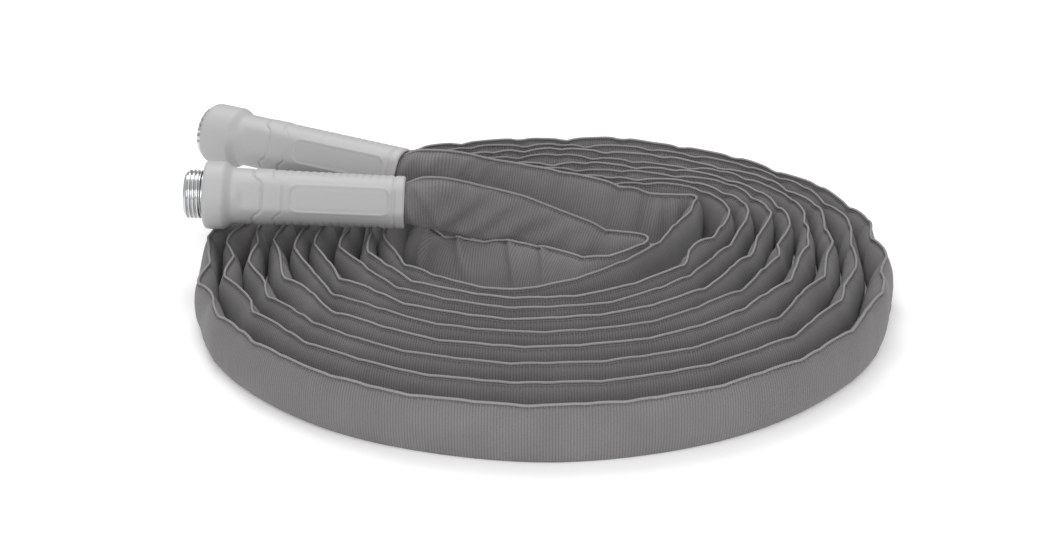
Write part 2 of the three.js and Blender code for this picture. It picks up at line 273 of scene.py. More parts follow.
class HoseLine:
    """The hose's line at 1 mm steps, with how the fabric leans, waves and creases along it."""

    def __init__(self):
        ends = []
        for coupling, route in ((FEMALE, FEMALE_ROUTE), (MALE, MALE_ROUTE)):
            end = spline([*axis_points(coupling, HOSE_IN_GRIP), coupling["tail"], *route])
            end[:, 2] = np.maximum(end[:, 2], HALF_HEIGHT)
            ends.append(end)
        raw = np.vstack([ends[0], spline(roll_points()), ends[1][::-1]])
        self.centre = evenly(soften(evenly(raw, 1.0), 2.0), 1.0)
        self.count = len(self.centre)
        self.index = np.arange(self.count)
        along = np.gradient(self.centre, axis=0)
        self.along = along / np.linalg.norm(along, axis=1)[:, None]
        side = np.stack([-self.along[:, 1], self.along[:, 0], np.zeros(self.count)], axis=1)
        self.side = side / np.linalg.norm(side, axis=1)[:, None]
        self.up = np.cross(self.along, self.side)
        heading = np.unwrap(np.arctan2(self.along[:, 1], self.along[:, 0]))
        self.turning = soften(np.gradient(heading), 2.0)
        self.from_female = self.index - (grip_length(FEMALE) - HOSE_IN_GRIP[0])
        self.from_male = self.index[::-1] - (grip_length(MALE) - HOSE_IN_GRIP[0])
        self.mouth = np.minimum(self.from_female, self.from_male)
        self.room = self.room_to_neighbours()
        self.lay_fabric()

    def room_to_neighbours(self):
        """Clear distance from each line point to the nearest other strand."""
        coarse = self.centre[::4]
        place = self.index[::4]
        apart = np.linalg.norm(coarse[:, None] - coarse[None], axis=2)
        apart[np.abs(place[:, None] - place[None]) < 60] = 99.0
        nearest = np.interp(self.index, place, apart.min(axis=1))
        return soften(nearest, 6.0) - 2 * HALF_THICK

    def lay_fabric(self):
        """Works out how the band leans, waves, creases and fills along the line.

        The top edge's waves and the filling of the feet are limited by the room to the next
        strand. The feet wave by their bearing from the middle, so neighbours wave alike."""
        plan = self.centre - ROLL_MIDDLE
        bearing = np.arctan2(plan[:, 1], plan[:, 0])
        off_front = np.abs(np.remainder(bearing + math.pi / 2 + math.pi, 2 * math.pi) - math.pi)
        lively = 0.28 + 0.72 * ease((off_front - 0.45) / 0.75)
        in_roll = ease((self.mouth - 60) / 80)
        limit = np.clip((self.room + 1.4) / 2, *TOP_WAVE)
        self.tip_over()
        corner = self.nearest(*FEMALE_LEAD[3], self.from_female < LEAD_LENGTH)
        past_corner = self.index - corner
        wave = soften(limit * lively * in_roll * (1 - bell(past_corner, 32)), 12.0)
        self.outward = np.sign(np.einsum("ij,ij->i", self.side[:, :2], plan[:, :2]))
        crease, kinks = creased(self.count, 15, 40, 3)
        crease = soften(crease, 2.4) + 0.3 * wander(self.count, 26, 16)
        slow = wander(self.count, 120, 5)
        together = sum(np.sin(k * bearing + 1.7 * k) for k in (5, 8, 13)) / 3
        self.top_wave = wave * (0.95 * crease + 0.25 * slow)
        self.foot_wave = FOOT_WAVE * lively * in_roll * self.outward * together
        self.bulge = wave * 0.25 * wander(self.count, 60, 7)
        filled = ease((off_front - 0.2) / 0.5) * in_roll
        self.fill = soften(np.clip(0.93 * self.room - 0.3, 0, PUFF) * filled, 12.0)
        kinked = bumps(self.count, kinks, 3.0) * 7.5 * np.clip(wave / 3.0, 0.05, 1.0)
        self.height = (
            1 + 0.03 * lively * wander(self.count, 48, 8) * in_roll - 0.045 * kinked)
        folds = creased(self.count, 15, 31, 14)[1]
        self.pleat = -PLEAT * self.pleated * bumps(self.count, folds, 1.9)
        loose_end = bell(self.mouth - 46, 42)
        loose_end *= np.where(self.from_male < self.from_female, 1.0, 0.35)
        self.pucker = PUCKER * loose_end * creased(self.count, 7, 13, 15)[0]
        places = [*kinks, *(corner - back for back in CORNER_DENTS)]
        depths = [1.0] * len(kinks) + [CORNER_DENT] * len(CORNER_DENTS)
        self.dent = bumps(self.count, places, 2.4, depths) * 8.0 * np.maximum(
            np.clip(wave / 2.5, 0.1, 1.0), bell(past_corner, 40))
        self.ripple = 0.22 * wander(self.count, 13, 9) + 0.14 * wander(self.count, 6, 10)
        self.swell = 1 + 0.14 * wander(self.count, 70, 11)

    def tip_over(self):
        """Tips the band over across the opening, and leans it a little near the couplings.

        Sets lean, its angle from upright towards its side in radians, and pleated, which is 1
        where it is tipped. Lowers the line there, so that the band's edge meets the floor."""
        near_male = self.from_male < LEAD_LENGTH
        places = [self.nearest(x, y, near_male) for x, y, _ in MALE_LEAD]
        degrees = [lean for _, _, lean in MALE_LEAD]
        tipped = soften(np.radians(np.interp(self.index, places[::-1], degrees[::-1])), 8.0)
        self.centre[:, 2] -= HALF_HEIGHT * (1 - np.cos(tipped)) - HALF_THICK * np.sin(tipped)
        self.pleated = ease((tipped - 0.15) / 0.3)
        free = ease((self.mouth - 10) / 40) * ease((230 - self.mouth) / 120)
        free *= 1 - ease(np.abs(tipped) / 0.1)
        self.lean = tipped + soften(math.radians(10) * free * np.sign(self.side[:, 1]), 8.0)

    def nearest(self, x, y, among):
        """The line point nearest in plan to x, y, among those where among is true."""
        away = np.linalg.norm(self.centre[:, :2] - (x, y), axis=1)
        return int(np.argmin(np.where(among, away, 999.0)))

    def flattened(self, rings):
        """How far the tube has gone from round to flat at rings: its height, then its width."""
        mouth = self.mouth[rings, None]
        return ease((mouth + 4) / 16), ease((mouth + 4) / 64)

    def place(self, rings, height, out, lowest=0.02):
        """Points of the band at rings, none below lowest. height is from -HALF_HEIGHT to
        HALF_HEIGHT and out is sideways, with a row for each ring and a column for each point."""
        rise = up_band(height)
        sideways = (
            self.top_wave[rings, None] * rise**1.5
            + self.foot_wave[rings, None] * (1 - rise) ** 1.5
            + self.bulge[rings, None] * np.sin(math.pi * rise)
            + self.slanted(self.pleat, rings, 12 * rise) * rise**0.6
            + self.slanted(self.pucker, rings, 26 * rise) * np.sin(math.pi * rise**0.55)
        )
        lean = self.lean[rings, None]
        up, side = self.up[rings, None], self.side[rings, None]
        upright = np.cos(lean)[..., None] * up + np.sin(lean)[..., None] * side
        outward = np.cos(lean)[..., None] * side - np.sin(lean)[..., None] * up
        foot = self.centre[rings, None] - HALF_HEIGHT * upright
        risen = (height + HALF_HEIGHT) * self.height[rings, None]
        points = foot + upright * risen[..., None] + outward * (out + sideways)[..., None]
        points[..., 2] = np.maximum(points[..., 2], lowest)
        return points

    def slanted(self, values, rings, ahead):
        """Values along the line, read further ahead for points higher up the band."""
        return np.interp(self.index[rings, None] + ahead, self.index, values)

    def rings(self, step):
        """Line points to put rings at: every step points, and closer together in tight bends."""
        allowed = np.clip(0.2 / np.maximum(np.abs(self.turning), 1e-4), 1, step)
        allowed = np.where(self.mouth < 110, 1, allowed)
        allowed = np.where(self.pleated > 0.05, 1, allowed)
        picked = [0]
        while picked[-1] < self.count - 1:
            picked.append(min(picked[-1] + int(allowed[picked[-1]]), self.count - 1))
        return np.array(picked)


def section():
    """One side of the jacket's section from foot to top: the angles where it is round, and the
    heights and half thicknesses where it lies flat."""
    steps = SECTION_STEPS
    angle = -math.pi / 2 + math.pi * np.arange(steps + 1) / steps
    body = (1 - np.cos(math.pi * np.arange(1, steps) / (steps - 1))) / 2
    height = -HALF_HEIGHT + (BODY_TOP + HALF_HEIGHT) * body
    thick = (1 - np.abs(2 * body - 1) ** 2.6) ** 0.6
    neck_top = BODY_TOP + 1.2
    return angle, np.array([-HALF_HEIGHT, *height, neck_top]), np.array([0.0, *thick, 0.0])


# ---- meshes ----
def new_piece(name, points, faces, material, uv=None, recalculate=False):
    """A mesh object at the origin from points in millimetres."""
    mesh = bpy.data.meshes.new(name)
    mesh.from_pydata((np.asarray(points) * MM).tolist(), [], faces)
    if uv is not None:
        layer = mesh.uv_layers.new(name="UVMap")
        layer.data.foreach_set("uv", np.asarray(uv, np.float32).ravel())
    if recalculate:
        shell = bmesh.new()
        shell.from_mesh(mesh)
        bmesh.ops.recalc_face_normals(shell, faces=shell.faces)
        shell.to_mesh(mesh)
        shell.free()
    mesh.shade_smooth()
    mesh.materials.append(material)
    piece = bpy.data.objects.new(name, mesh)
    bpy.context.scene.collection.objects.link(piece)
    return piece


def to_frame(points):
    """Moves points from the roll's centre to the part's origin."""
    return np.asarray(points) - BOX_CENTRE


def tube_faces(rings, sides, ends=True):
    """Quads of a tube whose points run ring by ring, with a face over each end."""
    faces = []
    for i in range(rings - 1):
        for j in range(sides):
            k = (j + 1) % sides
            faces.append((i * sides + j, (i + 1) * sides + j, (i + 1) * sides + k, i * sides + k))
    if ends:
        faces.append(tuple(range(sides)))
        faces.append(tuple((rings - 1) * sides + j for j in reversed(range(sides))))
    return faces


def tube_uv(u, v):
    """UVs for tube_faces and its ends: u for each ring, and v for each side and to close it."""
    sides = len(v) - 1
    pairs = []
    for i in range(len(u) - 1):
        for j in range(sides):
            a, b, c, d = u[i], u[i + 1], v[j], v[j + 1]
            pairs.extend(((a, c), (b, c), (b, d), (a, d)))
    pairs.extend((u[0], v[j]) for j in range(sides))
    pairs.extend((u[-1], v[j]) for j in reversed(range(sides)))
    return pairs


def jacket_points(line, rings):
    """Points of the woven jacket, one row for each ring."""
    angle, flat_height, flat_thick = section()
    neck = np.zeros(len(angle))
    neck[-2] = NECK_HALF
    mouth, ripple = line.mouth[rings, None], line.ripple[rings, None]
    tall, thin = line.flattened(rings)
    height = (1 - tall) * (JACKET_ROUND * np.sin(angle)) + tall * flat_height
    middle = np.sin(np.pi * up_band(flat_height)) ** 0.7
    lower = 1 - 0.75 * up_band(flat_height)
    gathers = GATHER * np.exp(-np.maximum(mouth, 0) / 42) * ease((mouth + 1) / 5)
    columns = []
    for sign in (1.0, -1.0):
        outside = line.outward[rings, None] == sign
        hollow = line.dent[rings, None] * np.where(outside, -0.25, 1.0)
        filled = line.fill[rings, None] * np.where(outside, 0.45, 1.0)
        puff = (HALF_THICK * line.swell[rings, None] + filled * lower) * flat_thick + neck
        loose = ripple * middle - hollow * middle
        flat = np.maximum(puff + loose * ease((mouth - 20) / 40), np.minimum(puff, 0.35))
        out = (1 - thin) * (JACKET_ROUND * np.cos(angle)) + thin * flat
        phase = 3 * angle * sign + 0.45 * mouth + 2.5 * ripple
        out = out + gathers * np.maximum(np.cos(phase), -0.4) * np.cos(angle) ** 0.5
        columns.append(sign * out)
    height = np.hstack([height, height[:, -2:0:-1]])
    out = np.hstack([columns[0], columns[1][:, -2:0:-1]])
    out[:, [0, len(angle) - 1]] = 0.0
    return line.place(rings, height, out)


# ---- materials ----
def linear(code):
    """An sRGB hex colour, such as #8a8a8a, as linear red, green and blue."""
    values = [int(code[i:i + 2], 16) / 255 for i in (1, 3, 5)]
    return [v / 12.92 if v <= 0.04045 else ((v + 0.055) / 1.055) ** 2.4 for v in values]


def shaded(colour, share=1.0):
    """A linear colour made darker or lighter, with its alpha."""
    return [*(c * share for c in colour), 1.0]


def add(tree, kind, inputs=(), feeds=None, **settings):
    """Adds a node with its settings. inputs pairs an input's name or number with a value, or with
    an output to link to it. feeds is an input elsewhere that takes the node's first output."""
    node = tree.nodes.new(kind)
    for name, value in settings.items():
        setattr(node, name, value)
    for key, value in dict(inputs).items():
        if isinstance(value, bpy.types.NodeSocket):
            tree.links.new(value, node.inputs[key])
        else:
            node.inputs[key].default_value = value
    if feeds:
        tree.links.new(node.outputs[0], feeds)
    return node


def new_material(name, **surface):
    """A material with a Principled surface. Names in surface are its inputs, spaces as _."""
    material = bpy.data.materials.new(name)
    material.use_nodes = True
    tree = material.node_tree
    shader = tree.nodes["Principled BSDF"]
    for key, value in surface.items():
        shader.inputs[key.replace("_", " ")].default_value = value
    return material, tree, shader


def woven_polyester(colour):
    """Woven polyester: matt filament yarns in ribs across the band, darker in the grooves by
    painted shade.
    """
    material, tree, shader = new_material(
        "woven_polyester", Roughness=0.82, Sheen_Weight=0.12, Sheen_Roughness=0.5)
    uv = add(tree, "ShaderNodeTexCoord").outputs["UV"]
    wave_unit = math.pi / 10                            # a wave texture's period at scale 1
    across = add(tree, "ShaderNodeTexWave", {
        "Vector": uv, "Scale": wave_unit / (RIB_PITCH * MM), "Distortion": 0.6, "Detail": 2.0,
        "Detail Scale": 1.5}, bands_direction="X")
    lengthways = add(tree, "ShaderNodeTexWave", {
        "Vector": uv, "Scale": wave_unit / (YARN_PITCH * MM), "Distortion": 0.4,
        "Detail Scale": 1.5}, bands_direction="Y")
    weave = add(tree, "ShaderNodeMath", {
        0: lengthways.outputs["Fac"], 1: 0.28, 2: across.outputs["Fac"]}, operation="MULTIPLY_ADD")
    place = add(tree, "ShaderNodeTexCoord").outputs["Object"]
    patch = add(tree, "ShaderNodeTexNoise", {"Vector": place, "Scale": 38.0, "Detail": 3.0})
    yarn = add(tree, "ShaderNodeTexNoise", {"Vector": uv, "Scale": 900.0, "Detail": 2.0})
    # painted shade: the colour falls to two thirds of the rib colour in the grooves between the
    # ribs
    groove_shade = add(tree, "ShaderNodeMapRange", {
        "Value": weave.outputs[0], "From Min": 0.1, "From Max": 0.75, "To Min": 1.0, "To Max": 0.0})
    ribs = add(tree, "ShaderNodeMix", {
        "Factor": groove_shade.outputs[0], 6: shaded(colour), 7: shaded(colour, 0.66)},
        data_type="RGBA")
    shade = add(tree, "ShaderNodeMapRange", {
        "Value": patch.outputs["Fac"], "From Min": 0.3, "From Max": 0.7,
        "To Min": 0.93, "To Max": 1.07})
    slub = add(tree, "ShaderNodeMapRange", {
        "Value": yarn.outputs["Fac"], "From Min": 0.3, "From Max": 0.7,
        "To Min": 0.94, "To Max": 1.06})
    both = add(tree, "ShaderNodeMath", {
        0: shade.outputs[0], 1: slub.outputs[0]}, operation="MULTIPLY")
    add(tree, "ShaderNodeVectorMath", {
        0: ribs.outputs[2], "Scale": both.outputs[0]}, shader.inputs["Base Color"],
        operation="SCALE")
    add(tree, "ShaderNodeBump", {
        "Height": weave.outputs[0], "Strength": 0.4, "Distance": 0.25 * MM},
        shader.inputs["Normal"])
    return material


def braided_cord(colour):
    """Braided polyester cord sewn into the edge: paler than the jacket, with a fine twist."""
    material, tree, shader = new_material("braided_welt_cord", Roughness=0.75)
    place = add(tree, "ShaderNodeTexCoord").outputs["Object"]
    fibre = add(tree, "ShaderNodeTexNoise", {"Vector": place, "Scale": 1400.0, "Detail": 3.0})
    ramp = add(tree, "ShaderNodeMix", {
        "Factor": fibre.outputs["Fac"], 6: shaded(colour, 0.72), 7: shaded(colour, 1.2)},
        data_type="RGBA")
    tree.links.new(ramp.outputs[2], shader.inputs["Base Color"])
    add(tree, "ShaderNodeBump", {
        "Height": fibre.outputs["Fac"], "Strength": 0.5, "Distance": 0.15 * MM},
        shader.inputs["Normal"])
    return material


def mottled(name, colour, roughness, grain, depth, variation=0.05, **surface):
    """An even colour with faint broad mottling, and a fine grain of a size and depth in mm."""
    material, tree, shader = new_material(name, Roughness=roughness, **surface)
    place = add(tree, "ShaderNodeTexCoord").outputs["Object"]
    fine = add(tree, "ShaderNodeTexNoise", {
        "Vector": place, "Scale": 1 / (grain * MM), "Detail": 3.0})
    broad = add(tree, "ShaderNodeTexNoise", {"Vector": place, "Scale": 45.0, "Detail": 2.0})
    tone = add(tree, "ShaderNodeMix", {
        "Factor": broad.outputs["Fac"], 6: shaded(colour, 1 - variation),
        7: shaded(colour, 1 + variation)}, data_type="RGBA")
    tree.links.new(tone.outputs[2], shader.inputs["Base Color"])
    add(tree, "ShaderNodeMapRange", {
        "Value": broad.outputs["Fac"], "To Min": roughness - 0.06, "To Max": roughness + 0.06},
        shader.inputs["Roughness"])
    add(tree, "ShaderNodeBump", {
        "Height": fine.outputs["Fac"], "Strength": 0.35, "Distance": depth * MM},
        shader.inputs["Normal"])
    return material


def turned_aluminium():
    """Bright turned aluminium: mirror-like with fine circular tool lines 0.25 mm apart."""
    material, tree, shader = new_material("turned_aluminium", Metallic=1.0, Roughness=0.2)
    shader.inputs["Base Color"].default_value = shaded(linear("#c9cacc"))
    uv = add(tree, "ShaderNodeTexCoord").outputs["UV"]
    stretched = add(tree, "ShaderNodeMapping", {
        "Vector": uv, "Scale": (1 / (0.25 * MM), 40.0, 1.0)})
    lines = add(tree, "ShaderNodeTexNoise", {
        "Vector": stretched.outputs[0], "Scale": 1.0, "Detail": 2.0})
    add(tree, "ShaderNodeMapRange", {
        "Value": lines.outputs["Fac"], "To Min": 0.14, "To Max": 0.3}, shader.inputs["Roughness"])
    add(tree, "ShaderNodeBump", {
        "Height": lines.outputs["Fac"], "Strength": 0.25, "Distance": 0.05 * MM},
        shader.inputs["Normal"])
    return material


def moulded_tpr(colour):
    """Moulded thermoplastic rubber: pale grey, soft satin, with a fine spark-eroded grain."""
    return mottled("moulded_tpr", colour, 0.5, 0.45, 0.03, 0.03)


# ---- Geometry Nodes ----
def node_group(name, *sizes):
    """An empty Geometry Nodes group with a Geometry input and output and named float inputs."""
    tree = bpy.data.node_groups.new(name, "GeometryNodeTree")
    for way in ("INPUT", "OUTPUT"):
        tree.interface.new_socket("Geometry", in_out=way, socket_type="NodeSocketGeometry")
    for size in sizes:
        tree.interface.new_socket(size, in_out="INPUT", socket_type="NodeSocketFloat")
    return tree


def run_nodes(name, polyline, tree, sizes):
    """Evaluates a Geometry Nodes group on a polyline in millimetres and keeps the plain mesh."""
    guide = bpy.data.meshes.new(f"{name}_guide")
    points = (np.asarray(polyline) * MM).tolist()
    guide.from_pydata(points, [(i, i + 1) for i in range(len(points) - 1)], [])
    holder = bpy.data.objects.new(f"{name}_guide", guide)
    bpy.context.scene.collection.objects.link(holder)
    modifier = holder.modifiers.new("nodes", "NODES")
    modifier.node_group = tree
    for item in tree.interface.items_tree:
        if item.item_type == "SOCKET" and item.in_out == "INPUT" and item.name in sizes:
            modifier[item.identifier] = sizes[item.name]
    evaluated = holder.evaluated_get(bpy.context.evaluated_depsgraph_get())
    mesh = bpy.data.meshes.new_from_object(evaluated)
    mesh.name = name
    mesh.shade_smooth()
    bpy.data.objects.remove(holder)
    bpy.data.meshes.remove(guide)
    piece = bpy.data.objects.new(name, mesh)
    bpy.context.scene.collection.objects.link(piece)
    return piece


def beads_tree(name, material, core=True):
    """Beads set nose to tail along a line, on a thin core if there is one."""
    tree = node_group(name, "pitch", "bead_radius", "bead_length", "core_radius")
    given = add(tree, "NodeGroupInput").outputs
    curve = add(tree, "GeometryNodeMeshToCurve", {"Mesh": given["Geometry"]}).outputs[0]
    spots = add(tree, "GeometryNodeCurveToPoints", {
        "Curve": curve, "Length": given["pitch"]}, mode="LENGTH")
    ball = add(tree, "GeometryNodeMeshUVSphere", {"Segments": 6, "Rings": 4, "Radius": 1.0})
    size = add(tree, "ShaderNodeCombineXYZ", {
        "X": given["bead_radius"], "Y": given["bead_radius"], "Z": given["bead_length"]})
    bead = add(tree, "GeometryNodeTransform", {
        "Geometry": ball.outputs["Mesh"], "Scale": size.outputs[0]})
    beads = add(tree, "GeometryNodeInstanceOnPoints", {
        "Points": spots.outputs["Points"], "Instance": bead.outputs[0],
        "Rotation": spots.outputs["Rotation"]})
    made = beads.outputs[0]
    if core:
        circle = add(tree, "GeometryNodeCurvePrimitiveCircle", {
            "Resolution": 4, "Radius": given["core_radius"]})
        coarse = add(tree, "GeometryNodeResampleCurve", {
            "Curve": curve, "Length": 4 * MM}, mode="LENGTH")
        rod = add(tree, "GeometryNodeCurveToMesh", {
            "Curve": coarse.outputs[0], "Profile Curve": circle.outputs[0], "Fill Caps": True})
        joined = add(tree, "GeometryNodeJoinGeometry", {"Geometry": rod.outputs[0]})
        tree.links.new(made, joined.inputs[0])
        made = joined.outputs[0]
    real = add(tree, "GeometryNodeRealizeInstances", {"Geometry": made})
    painted = add(tree, "GeometryNodeSetMaterial", {
        "Geometry": real.outputs[0], "Material": material})
    add(tree, "NodeGroupOutput", {"Geometry": painted.outputs[0]})
    return tree


# ---- couplings ----
def coupling_frame(coupling):
    """Face point, axis, front and upper directions of a coupling. Its panel faces the front."""
    face = np.array(coupling["face"])
    axis = np.array(coupling["tail"]) - face
    axis /= np.linalg.norm(axis)
    tilt = math.radians(20)
    front = np.array([0.0, -math.cos(tilt), math.sin(tilt)])
    front -= axis * (front @ axis)
    front /= np.linalg.norm(front)
    return face, axis, front, np.cross(front, axis)


def all_round(sides):
    """Angles from a coupling's front, once round."""
    return 2 * math.pi * np.arange(sides) / sides


def plain(rows, sides):
    """Radii for turned_shell where a wall is round. rows pairs stations with radii."""
    return np.repeat([[r] for _, r in rows], sides, axis=1)


def turned_shell(name, coupling, stations, radii, material):
    """A closed shell turned about a coupling's axis. stations are distances along it, round the
    whole wall and back to the start, and radii has a row for each station."""
    face, axis, front, upper = coupling_frame(coupling)
    sides = radii.shape[1]
    angle = all_round(sides)
    around = np.cos(angle)[:, None] * front + np.sin(angle)[:, None] * upper
    points = face + np.asarray(stations)[:, None, None] * axis + radii[..., None] * around
    rows = len(stations)
    faces, pairs = [], []
    for i in range(rows):
        n = (i + 1) % rows
        u, w = stations[i] * MM, stations[n] * MM
        for j in range(sides):
            k = (j + 1) % sides
            faces.append((i * sides + j, i * sides + k, n * sides + k, n * sides + j))
            v, x = j / sides * 0.1, (j + 1) / sides * 0.1
            pairs.extend(((u, v), (u, x), (w, x), (w, v)))
    points = to_frame(points.reshape(-1, 3))
    return new_piece(name, points, faces, material, pairs, recalculate=True)


def rounded_box(x, y, half_x, half_y, corner):
    """Signed distance to a rectangle with round corners, negative inside."""
    dx = np.abs(x) - half_x + corner
    dy = np.abs(y) - half_y + corner
    outside = np.hypot(np.maximum(dx, 0), np.maximum(dy, 0))
    return outside + np.minimum(np.maximum(dx, dy), 0) - corner


def grip_surface(coupling, s, angle):
    """Outer radius of a soft grip at distances s and angles from its front."""
    length = grip_length(coupling)
    collar, sleeve, end = coupling["collar"], coupling["sleeve"], coupling["end"]
    stop = coupling["collar_end"]
    taper = sleeve + (end - sleeve) * np.clip((s - stop) / (length - stop), 0, 1)
    step = ease((s - stop + GRIP_SLOPE / 2) / GRIP_SLOPE)
    reach, depth = coupling["edge"]
    edge = np.clip(1 - s / reach, 0, 1)
    radius = (collar - depth * (1 - np.sqrt(1 - edge**2))) * (1 - step) + taper * step
    folded = np.abs(np.remainder(angle + math.pi / 2, math.pi) - math.pi / 2)
    on_sleeve = ease((s - stop - 4) / 6)
    flat = (radius - GRIP_FLAT) / np.cos(np.minimum(folded, 1.2))
    blend = np.clip(0.5 + 0.5 * (flat - radius) / FLAT_BLEND, 0, 1)
    faceted = flat * (1 - blend) + radius * blend - FLAT_BLEND * blend * (1 - blend)
    radius = radius * (1 - on_sleeve) + faceted * on_sleeve
    across = radius * folded
    slant = 5.0 * ease((folded - 0.47) / 0.42)
    first, second = coupling["chevrons"]
    for tip in (first, second):
        radius = radius - GRIP_GROOVE * bell(s - tip + slant, 0.55)
    between = ease(s - first + slant)
    between *= 1 - ease(s - second + slant)
    radius = radius + GRIP_RAISED * between
    start, stop_panel, wide = coupling["panel"]
    inside = rounded_box(
        s - (start + stop_panel) / 2, across, (stop_panel - start) / 2, wide / 2, PANEL_CORNER)
    radius = radius - GRIP_RAISED * ease(-inside / 0.9) + GRIP_RAISED * bell(inside - 0.5, 0.5)
    beside = ease((folded - 0.95) / 0.2) * ease((s - start + 8) / 3) * ease((length - 8 - s) / 3)
    rib = np.remainder(s, GRIP_RIB_PITCH) - GRIP_RIB_PITCH / 2
    radius = radius - 0.4 * beside * bell(rib, 0.6)
    radius = radius - 0.6 * bell(s - length + 6, 0.7)
    lip = np.clip((s - length + 1.6) / 1.6, 0, 1)
    return radius - 1.3 * (1 - np.sqrt(1 - lip**2))


def make_grip(name, coupling, material):
    """A soft moulded grip with collar, sloping neck, chevron grooves and a blank panel."""
    sides = 168
    length = grip_length(coupling)
    outer = np.linspace(0, length, int(length / 0.5) + 1)
    skin = grip_surface(coupling, outer[:, None], all_round(sides))
    pocket, depth = coupling["pocket_radius"], coupling["pocket_depth"]
    inner = [
        (length, GRIP_BORE + 0.4), (length - 0.6, GRIP_BORE), (depth, GRIP_BORE),
        (depth, pocket), (0.8, pocket), (0.0, pocket + 0.1),
    ]
    stations = np.concatenate([outer, [s for s, _ in inner]])
    radii = np.vstack([skin, plain(inner, sides)])
    return turned_shell(name, coupling, stations, radii, material)


def thread_ridge(s, angle):
    """Height of a right-handed thread from 0 in its root to 1 on its crest."""
    phase = np.remainder(s / THREAD["pitch"] + angle / (2 * math.pi), 1.0)
    return ease((0.5 - np.abs(phase - 0.5)) / 0.34)


def barbs(start, stop, count):
    """Stations and radii of the barbs that a stem pushes into the liner, from its flange."""
    pitch = (stop - start) / count
    rows = []
    for i in range(count):
        at = start + i * pitch
        rows.extend([(at, BARB_RADIUS - 1), (at + 0.4, BARB_RADIUS), (at + pitch, BARB_RADIUS - 1)])
    return rows


def make_spigot(name, coupling, material):
    """The male spigot: one turned part with a hose thread, a flange and a barbed stem."""
    sides = 96
    tip, root = THREAD["tip"], THREAD["radius"] - THREAD["depth"]
    cut = np.arange(tip + 0.9, -1.0, 0.16)
    fade = ease((cut - tip - 0.9) / 0.8) * ease((-1.2 - cut) / 0.8)
    ridge = thread_ridge(cut[:, None], all_round(sides))
    thread = root + THREAD["depth"] * ridge * fade[:, None]
    before = [
        (tip + 0.6, BORE_RADIUS), (tip, BORE_RADIUS + 0.6), (tip, root - 0.9), (tip + 0.8, root)]
    start, stop, flange = (MALE_FLANGE[key] for key in ("from", "to", "radius"))
    stem, end = BARB_RADIUS - 1, 56.2
    after = [
        (-0.6, root), (start, root), (start, flange - 0.4), (start + 0.4, flange), (stop, flange),
        (stop, stem), *barbs(stop + 6, 56, 3), (end, stem), (end, BORE_RADIUS),
    ]
    stations = np.concatenate([[s for s, _ in before], cut, [s for s, _ in after]])
    radii = np.vstack([plain(before, sides), thread, plain(after, sides)])
    return turned_shell(name, coupling, stations, radii, material)


def make_nut(name, coupling, material):
    """The female swivel nut: a fluted rim outside the grip and a threaded socket inside."""
    sides, deepest = 192, 9.0
    angle = all_round(sides)
    flutes = NUT["flute_depth"] * (0.5 - 0.5 * np.cos(NUT["flutes"] * angle))
    lip, outer, socket, neck = (NUT[key] for key in ("lip", "outer", "socket", "neck"))
    rim = [                   # station, radius and share of the flutes' depth
        (lip, outer - 0.7, 0.4), (lip + 0.25, outer - 0.15, 1.0), (lip + 0.5, outer, 1.0),
        (-0.4, outer, 1.0), (0.2, outer, 0.0), (NUT["back"], outer, 0.0),
        (NUT["back"], neck, 0.0), (NUT["floor"], neck, 0.0), (NUT["floor"], socket, 0.0),
        (deepest + 0.5, socket, 0.0),
    ]
    cut = np.arange(deepest, lip + 1.4, -0.22)
    fade = ease((deepest - cut) / 0.8) * ease((cut - lip - 1.4) / 0.8)
    thread = socket - 0.9 * thread_ridge(cut[:, None], angle) * fade[:, None]
    mouth = [(lip + 0.8, socket), (lip, socket + 0.7)]
    stations = np.concatenate([[s for s, _, _ in rim], cut, [s for s, _ in mouth]])
    outside = np.array([r - flutes * share for _, r, share in rim])
    radii = np.vstack([outside, thread, plain(mouth, sides)])
    return turned_shell(name, coupling, stations, radii, material)


# ---- settings ----
class HoseFabricSettings(bpy.types.PropertyGroup):
    """Sizes and colours of the woven hose."""

    jacket_colour: bpy.props.FloatVectorProperty(
        name="Jacket colour", description="Colour of the woven polyester, on its ribs",
        default=linear("#747273"), subtype="COLOR", size=3, min=0.0, max=1.0)
    welt_colour: bpy.props.FloatVectorProperty(
        name="Welt colour", description="Colour of the cord sewn into the top edge",
        default=linear("#8c8a8b"), subtype="COLOR", size=3, min=0.0, max=1.0)
    bead_pitch: bpy.props.FloatProperty(
        name="Welt bead pitch", description="Distance between the welt cord's beads",
        default=1.75 * MM, unit="LENGTH")
    stitch_pitch: bpy.props.FloatProperty(
        name="Stitch pitch", description="Distance between stitches under the welt",
        default=2.6 * MM, unit="LENGTH")


class CouplingSettings(bpy.types.PropertyGroup):
    """Colours of the couplings."""

    grip_colour: bpy.props.FloatVectorProperty(
        name="Grip colour", description="Colour of the soft moulded grips",
        default=linear("#b2b1b1"), subtype="COLOR", size=3, min=0.0, max=1.0)


class StageSettings(bpy.types.PropertyGroup):
    """Camera and light."""

    lens: bpy.props.FloatProperty(
        name="Lens", description="Focal length of the camera on a 36 mm sensor, in millimetres",
        default=78.04)
    sky: bpy.props.FloatProperty(
        name="Room light", description="Strength of the light from all round", default=0.5)
    key_power: bpy.props.FloatProperty(
        name="Key light", description="Power of the large light overhead", default=10.0,
        subtype="POWER")


def hose_line():
    """The hose's line, worked out once and kept."""
    if not hasattr(hose_line, "made"):
        hose_line.made = HoseLine()
    return hose_line.made


def shared_material(name, make, *values):
    """The material of that name, made on first use."""
    return bpy.data.materials.get(name) or make(*values)


def fit(body, *fitted):
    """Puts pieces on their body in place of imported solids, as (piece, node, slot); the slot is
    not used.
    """
    for piece, node, slot in fitted:
        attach(piece, body)
        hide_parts(node)


